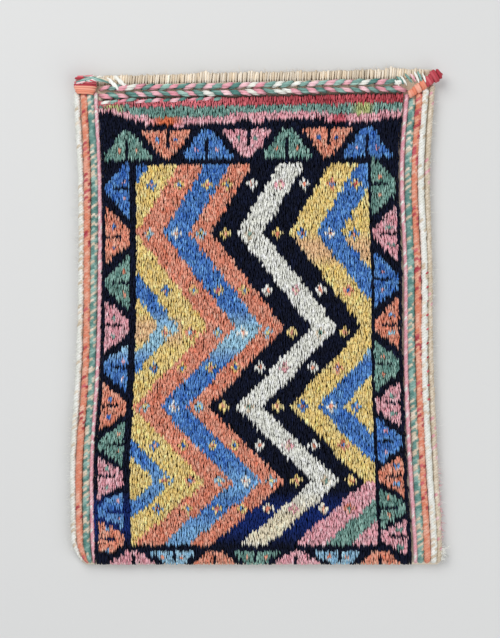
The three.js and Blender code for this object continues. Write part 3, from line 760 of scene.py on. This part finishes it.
# Twined rows along the front's edge: floats of two yarns by turns, each of three plies.
def add_floats(name, nodes, yarn, x, height, slant, size):
    count = len(x)
    t = np.linspace(0, 1, FLOAT_STEPS)
    arch = np.sin(np.pi * t)
    long = FLOAT_LENGTH * size * rng.uniform(0.85, 1.15, count)
    thick = FLOAT_THICK * size * rng.uniform(0.85, 1.15, count)
    level = seam_top + CLEARANCE + pair_diameter / 2 - FLOAT_DIP
    line = np.zeros((count, len(t), 3))
    line[..., 0] = (x + rng.normal(0, 0.5 * MM, count))[:, None] + long[:, None] * (t - 0.5)
    tilt = slant * rng.uniform(2, 3.4, count) * MM * size
    line[..., 1] = height + rng.normal(0, 0.25 * MM, count)[:, None] + tilt[:, None] * (t - 0.5)
    line[..., 2] = level + FLOAT_RISE * size * arch
    radius = thick[:, None] / 2 * (0.35 + 0.65 * arch**0.6)
    ply = np.arange(FLOAT_PLIES)[:, None]
    turn = 2 * np.pi * ply / FLOAT_PLIES + slant * np.pi * t + rng.uniform(0, 6, (count, 1, 1))
    plies = np.repeat(line[:, None], FLOAT_PLIES, axis=1)
    plies[..., 1] += 0.5 * radius[:, None] * np.cos(turn)
    plies[..., 2] += 0.5 * radius[:, None] * np.sin(turn)
    radii = np.repeat(0.56 * radius[:, None], FLOAT_PLIES, axis=1)
    radii = radii.reshape(-1, len(t), 1) * np.ones(TUBE_SIDES)
    points, triangles = sweep(plies.reshape(-1, len(t), 3), radii, UP)
    yarns = np.where(rng.random(count) < 0.1, INDEX["ivory"], INDEX[yarn])
    tones = np.repeat(rng.beta(1, 2, count), FLOAT_PLIES)
    paleness = np.clip(tones + rng.normal(0, 0.15, len(tones)), 0, 1)
    colours = yarn_colours(np.repeat(yarns, FLOAT_PLIES), paleness)
    # Painted shade: each float darkens from its arch towards its ends, where it dips into the row, and
    # its end caps are dark.
    shades = ring_colours(colours, 0.4 + 0.6 * arch, TUBE_SIDES, [0.3, 0.3])
    add_mesh(
        name, drape(points).reshape(-1, 3), triangles, shades.reshape(-1, 3),
        yarn_wool, nodes,
    )


def add_twined_row(row, node_row, height, slant, start, end, size):
    pitch = (PILE_WIDTH - 2 * pair_diameter) / (2 * TWINE_TURNS)
    middles = np.arange(start + pitch / 2, end, pitch)
    for i, yarn in enumerate(("pink", "green")):
        nodes = [f"{node_row}_{yarn}_strand"]
        add_floats(f"{row}_{yarn}_floats", nodes, yarn, middles[i::2], height, slant, size)


# Corner wraps: yarn wound in a flat coil over the ends of the side cords.
def add_corner_wrap(side, wrap, direction, turns, lower_share):
    angle, along, across = wrap_place(wrap)
    length, width, knob, flat = wrap["length"], wrap["width"], wrap["knob"], wrap["flat"]
    seat_z = margin_top + CLEARANCE + flat * max(width, knob) / 2
    seat = drape(np.array([[direction * (half_pile + across), along, seat_z]]))[0]
    share = np.linspace(0, 1, turns * WRAP_STEPS)
    bar = width / 2 * (0.72 + 0.28 * np.sin(np.pi * share))
    ball = np.sqrt(np.maximum(0, (knob / 2) ** 2 - (share * length - length + knob / 2) ** 2))
    yarn_radius = 0.6 * length / turns
    each_turn = (share * turns).astype(int)
    radius = np.maximum(bar, ball) - 0.7 * yarn_radius
    radius = radius * (1 + rng.normal(0, 0.05, turns + 1)[each_turn])
    wind = 2 * np.pi * turns * share
    line = np.stack(
        [radius * np.cos(wind), length * (share - 0.5), flat * radius * np.sin(wind)], axis=-1
    )
    line[:, 1] += 0.25 * yarn_radius * np.sin(3 * wind / 7)
    turn = -direction * angle
    x = line[:, 0] * math.cos(turn) - line[:, 1] * math.sin(turn)
    y = line[:, 0] * math.sin(turn) + line[:, 1] * math.cos(turn)
    placed = np.stack([x, y, line[:, 2]], axis=-1) + seat
    axis = np.array([-math.sin(turn), math.cos(turn), 0])
    radii = np.full((1, len(share), WRAP_SIDES), yarn_radius)
    points, triangles = sweep(placed[None], radii, axis)
    orange = (share < lower_share) | (rng.random(turns + 1) < 0.1)[each_turn]
    yarns = np.where(orange, INDEX["orange"], INDEX["crimson"])
    colours = yarn_colours(yarns, rng.beta(1, 2.2, turns + 1)[each_turn])
    rings = np.repeat(colours, WRAP_SIDES, axis=0)
    colours = np.concatenate([rings, colours[:1], colours[-1:]])
    add_mesh(
        f"wound_{side}_corner", points[0], triangles, colours, yarn_wool,
        [f"{side}_corner_wrap"],
    )


# Loose stitches: strands that bow over from a start to an end, in the order of their yarns.
def add_stitches(name, yarns, starts, ends, thick, bow):
    count = len(yarns)
    t = np.linspace(0, 1, STITCH_STEPS)[None, :, None]
    lines = starts[:, None] * (1 - t) + ends[:, None] * t
    lines[..., 2] += bow * np.sin(np.pi * t[..., 0])
    ply = np.arange(STITCH_PLIES)[:, None]
    turn = np.pi * ply + 9 * t[0, :, 0] + rng.uniform(0, 6, (count, 1, 1))
    plies = np.repeat(lines[:, None], STITCH_PLIES, axis=1)
    plies[..., 1] += 0.22 * thick * np.cos(turn)
    plies[..., 2] += 0.22 * thick * np.sin(turn)
    ends_thin = (0.3 + 0.7 * np.sin(np.pi * t[0, :, 0]) ** 0.5)[None, :, None]
    uneven = rng.uniform(0.85, 1.15, (STITCH_PLIES * count, 1, 1))
    radii = 0.3 * thick * ends_thin * uneven * np.ones(TUBE_SIDES)
    plies = plies.reshape(-1, STITCH_STEPS, 3)
    points, triangles = sweep(plies, radii, np.array([0.2, 0.1, 1.0]))
    index = np.repeat([INDEX[yarn] for yarn in yarns], STITCH_PLIES)
    colours = yarn_colours(index, rng.beta(1, 1.5, len(index)))
    shades = ring_colours(colours, np.ones(STITCH_STEPS), TUBE_SIDES, [1, 1])
    add_mesh(
        name, points.reshape(-1, 3), triangles, shades.reshape(-1, 3),
        yarn_wool, ["bag_cloth"],
    )


# A row of stitches over a corner of the mouth, in millimetres as the bag lies: where the first one
# starts and ends, and how far on the last one does.
def add_corner_stitches(name, yarns, start, start_run, end, end_run, jitter, bow):
    place = np.linspace(0, 1, len(yarns))[:, None]
    roam = rng.normal(0, jitter, (2, len(yarns), 3))
    starts = (np.array(start) + place * np.array(start_run) + roam[0]) * MM
    ends = (np.array(end) + place * np.array(end_run) + roam[1]) * MM
    add_stitches(name, yarns, starts, ends, CORNER_STITCH, bow)


# Red stitches in the groove between the two pale cords at the right.
def add_seam_stitches():
    groove = np.zeros((len(SEAM_DOTS), 3))
    groove[:, 0] = half_pile + right_margin - SEAM_INSET
    groove[:, 1] = SEAM_DOTS
    groove[:, 2] = margin_top + 3 * MM
    reach = np.array([1.2, 0.8, 0]) * MM
    starts, ends = drape(groove - reach), drape(groove + reach)
    add_stitches("seam_stitches", ["crimson"] * len(SEAM_DOTS), starts, ends, SEAM_STITCH, 1 * MM)


def add_all_stitches():
    add_corner_stitches(
        "left_stitches", LEFT_STITCHES, (-129, 163, 10), (6, 8, 1), (-116, 172, 11), (14, -4, -1),
        0.8, 3 * MM,
    )
    start = np.array([[-101, 171.5, 7], [-106, 170, 8]]) * MM
    end = np.array([[-91, 162, 12], [-97, 161, 12]]) * MM
    add_stitches("white_stitch", ["ivory", "ivory"], start, end, WHITE_STITCH, 3 * MM)
    add_corner_stitches(
        "right_stitches", RIGHT_STITCHES, (97, 171, 7), (21, 3, 0), (102, 165, 10), (19, 3, 0),
        0.6, 2 * MM,
    )
    add_seam_stitches()


# Stray hairs, from where they leave the wool and along the way they point.
def add_hairs(name, starts, ways, length, thick, yarn, nodes):
    count = len(starts)
    curl = rng.normal(0, 0.45, (count, 3))
    share = np.linspace(0, 1, 4)[None, :, None]
    reach = length * rng.uniform(0.5, 1.5, count)[:, None, None]
    lines = starts[:, None] + reach * (share * ways[:, None] + share**2 * curl[:, None])
    points, pattern = spikes(lines, np.full((count, 3), thick / 2), np.array([0.1, 0.2, 1.0]))
    points = drape(points)
    points[..., 2] = np.maximum(points[..., 2], HAIR_FLOOR)
    colours = yarn_colours(np.full(count, INDEX[yarn]), rng.random(count))
    shades = ring_colours(colours, np.ones(3), 3, [1.0])
    add_mesh(
        name, points.reshape(-1, 3), repeat_facets(pattern, count, points.shape[1]),
        shades.reshape(-1, 3), yarn_wool, nodes,
    )


# Places strewn in a box of the flat layout, which is given in millimetres.
def strewn(count, low, high):
    return rng.uniform(np.array(low) * MM, np.array(high) * MM, (count, 3))


def add_hair_patch(name, count, low, high, way, spread, length, thick, yarn, node):
    starts = strewn(count, low, high)
    ways = rng.normal(0, spread, (count, 3)) + np.array(way)
    add_hairs(name, starts, ways, length, thick, yarn, [node])


def add_all_hairs():
    edge_left = -(half_pile + left_margin) / MM
    edge_right = (half_pile + right_margin) / MM
    out = rng.normal(0, 0.6, (EDGE_HAIRS, 3)) + np.array([1, 0, 0])
    left = strewn(EDGE_HAIRS, (edge_left, 8, 2), (edge_left + 1, 335, 8))
    right = strewn(EDGE_HAIRS, (edge_right - 1, 4, 2), (edge_right, 330, 8))
    add_hairs("left_hairs", left, -out, 2.2 * MM, 0.2 * MM, "ivory", ["left_ivory_cord"])
    add_hairs("right_hairs", right, out, 2.2 * MM, 0.2 * MM, "ivory", ["right_undyed_cord"])
    add_hair_patch(
        "hem_hairs", 160, (-100, 350, 2), (100, 351, 5), (0, 1, 0), 0.7,
        1.8 * MM, 0.18 * MM, "undyed", "bag_cloth",
    )
    add_hair_patch(
        "right_tuft", 70, (edge_right - 4, 5, 2), (edge_right - 1, 14, 7), (0.8, -0.5, 0), 0.3,
        4.5 * MM, 0.7 * MM, "ivory", "right_undyed_cord",
    )
    add_hair_patch(
        "right_fuzz", 200, (edge_right - 1, 18, 1), (edge_right, 76, 6), (0.6, -0.6, 0), 0.4,
        2 * MM, 0.4 * MM, "pink", "right_undyed_cord",
    )


# Floor, light and camera

def add_stage():
    bpy.ops.mesh.primitive_plane_add(size=6, location=(0, 0, -0.0004))
    floor = bpy.context.object
    material = bpy.data.materials.new("floor")
    material.use_nodes = True
    shader = material.node_tree.nodes["Principled BSDF"]
    shader.inputs["Base Color"].default_value = (0.68, 0.68, 0.67, 1)
    shader.inputs["Roughness"].default_value = 0.9
    floor.data.materials.append(material)


def add_light(name, energy, size, place):
    data = bpy.data.lights.new(name, "AREA")
    data.energy = energy
    data.size = size
    lamp = bpy.data.objects.new(name, data)
    lamp.location = place
    lamp.rotation_euler = (-Vector(place)).to_track_quat("-Z", "Y").to_euler()
    bpy.context.scene.collection.objects.link(lamp)


def add_world():
    world = bpy.data.worlds.new("studio")
    bpy.context.scene.world = world
    world.use_nodes = True
    sky = world.node_tree.nodes["Background"]
    sky.inputs["Color"].default_value = (0.9, 0.92, 0.95, 1)
    sky.inputs["Strength"].default_value = 0.5


def add_camera():
    data = bpy.data.cameras.new("camera")
    camera = bpy.data.objects.new("camera", data)
    bpy.context.scene.collection.objects.link(camera)
    data.sensor_fit = "VERTICAL"
    data.sensor_height = SENSOR
    data.lens = SENSOR * CAMERA_DISTANCE / VIEW_HEIGHT
    camera.location = (*CAMERA_ASIDE, CAMERA_DISTANCE + PILE_LEVEL)
    bpy.context.scene.camera = camera


pile_wool = wool_material("pile_wool", 0.8, 0)
yarn_wool = wool_material("yarn_wool", 0.85, 0.05)
weave_wool = wool_material("weave_wool", 0.9, 0)

add_cloth()
add_pile()
add_hem()
add_side_cords("left", LEFT_CORDS, LEFT_WRAP, -1)
add_side_cords("right", RIGHT_CORDS, RIGHT_WRAP, 1)
first_row = front_end - CLEARANCE - pair_diameter / 2
row_step = pair_diameter + CLEARANCE
row_end = half_pile - ROW_INSET
add_twined_row("upper", "upper", first_row + 0.4 * MM, 1, -row_end, row_end, 1)
add_twined_row("lower", "lower", first_row - row_step + 0.2 * MM, -1, -row_end, row_end, 1)
add_twined_row("third", "lower", first_row - 1.9 * row_step, 1, -row_end, THIRD_ROW_END, THIRD_ROW_SIZE)
add_corner_wrap("left", LEFT_WRAP, -1, 9, 0.3)
add_corner_wrap("right", RIGHT_WRAP, 1, 13, 0.5)
add_all_stitches()
add_all_hairs()
add_stage()
add_light("key", 18, 1.2, (-0.7, 0.9, 1.3))
add_light("fill", 10, 1.6, (0.9, -0.6, 1.2))
add_world()
bpy.context.scene.view_settings.view_transform = "Standard"
add_camera()
